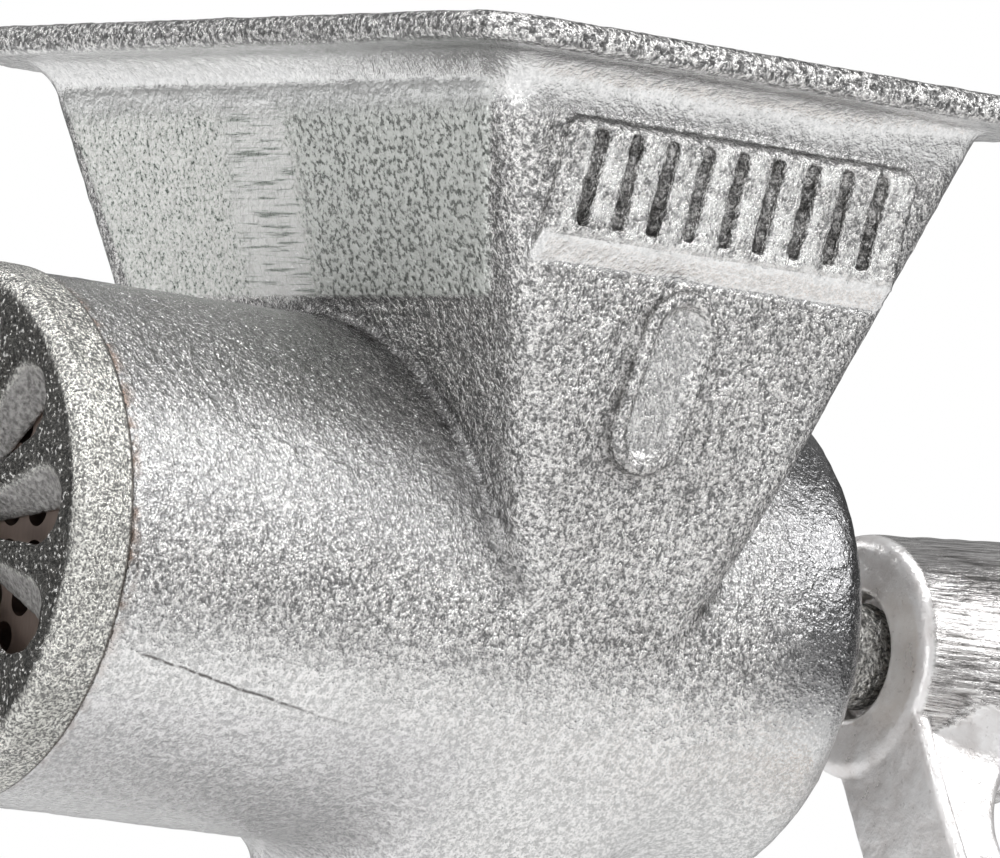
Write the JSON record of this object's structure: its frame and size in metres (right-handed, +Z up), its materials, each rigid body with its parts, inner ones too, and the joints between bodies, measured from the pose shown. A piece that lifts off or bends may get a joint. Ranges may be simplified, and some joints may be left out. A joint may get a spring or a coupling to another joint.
{
  "type": "hand crank meat grinder",
  "caption": "Cast iron hand mincer with a tapered feed hopper, slotted screwed front ring, side-swinging crank with a turned wooden grip, and a screw clamp for a table edge.",
  "frame": {"origin": "centre of the upper jaw's face that rests on the table top", "axes": "+Z up, away from the table; +X along the barrel towards the crank, so the discharge end faces -X; the crank hangs towards -Y at rest"},
  "size_m": [0.2877, 0.1742, 0.3298],
  "materials": {
    "tinned_casting": "hot tinned over a fine sand-cast skin",
    "tinned_ring": "tinned, fine grained",
    "tinned_crank": "tinned and smooth, hub turned",
    "tinned_screw": "tinned casting with a turned journal",
    "cutting_steel": "ground tool steel",
    "plate_steel": "ground steel, lightly darkened",
    "bush_bronze": "bored bronze",
    "washer_fibre": "vulcanised fibre",
    "plated_steel": "zinc plated, turned",
    "grip_wood": "turned beech, thin varnish"
  },
  "bodies": {
    "body": {"body_casting": "tinned_casting", "rear_bush": "bush_bronze", "thrust_washer": "washer_fibre", "plate_key_pin": "plated_steel"},
    "drive": {"feed_screw": "tinned_screw", "knife_stud": "plated_steel", "cutting_knife": "cutting_steel", "crank_arm": "tinned_crank", "grip_spindle": "plated_steel", "grip_washer": "plated_steel"},
    "grip": {"wooden_grip": "grip_wood", "inner_ferrule": "plated_steel", "outer_ferrule": "plated_steel"},
    "plate": {"hole_plate": "plate_steel"},
    "ring": {"front_ring": "tinned_ring"},
    "crank_washer": {"crank_washer": "plated_steel"},
    "crank_screw": {"crank_screw": "plated_steel"},
    "pad": {"clamp_pad": "plated_steel"},
    "clamp_screw": {"clamp_screw": "plated_steel", "clamp_wing": "plated_steel", "wing_pin": "plated_steel", "pad_washer": "plated_steel"}
  },
  "joints": [
    {"name": "crank_turn", "type": "hinge", "parent": "body", "child": "drive", "pos_m": [0, 0, 0.1], "axis": [-1, 0, 0], "continuous": true},
    {"name": "grip_spin", "type": "hinge", "parent": "drive", "child": "grip", "pos_m": [0.18, -0.08756, -0.04572], "axis": [1, 0, 0], "continuous": true},
    {"name": "plate_slide", "type": "slide", "parent": "body", "child": "plate", "axis": [-1, 0, 0], "range_m": [0, 0.006]},
    {"name": "ring_turn", "type": "hinge", "parent": "plate", "child": "ring", "pos_m": [-0.048, 0, 0.1], "axis": [-1, 0, 0], "range_deg": [0, 1080]},
    {"name": "crank_washer_slide", "type": "slide", "parent": "drive", "child": "crank_washer", "axis": [1, 0, 0], "range_m": [0, 0.0075]},
    {"name": "crank_screw_turn", "type": "hinge", "parent": "crank_washer", "child": "crank_screw", "pos_m": [0.14, 0, 0.1], "axis": [1, 0, 0], "range_deg": [0, 2160]},
    {"name": "pad_slide", "type": "slide", "parent": "body", "child": "pad", "axis": [0, 0, 1], "range_m": [-0.02, 0.02]},
    {"name": "clamp_turn", "type": "hinge", "parent": "pad", "child": "clamp_screw", "pos_m": [0, 0, -0.05], "axis": [0, 0, 1], "range_deg": [-2880, 2880]}
  ],
  "couplings": [
    {"joint": "plate_slide", "follows": "ring_turn", "m_per_rad": 0.00031831},
    {"joint": "crank_washer_slide", "follows": "crank_screw_turn", "m_per_rad": 0.00019894},
    {"joint": "pad_slide", "follows": "clamp_turn", "m_per_rad": 0.00039789}
  ]
}
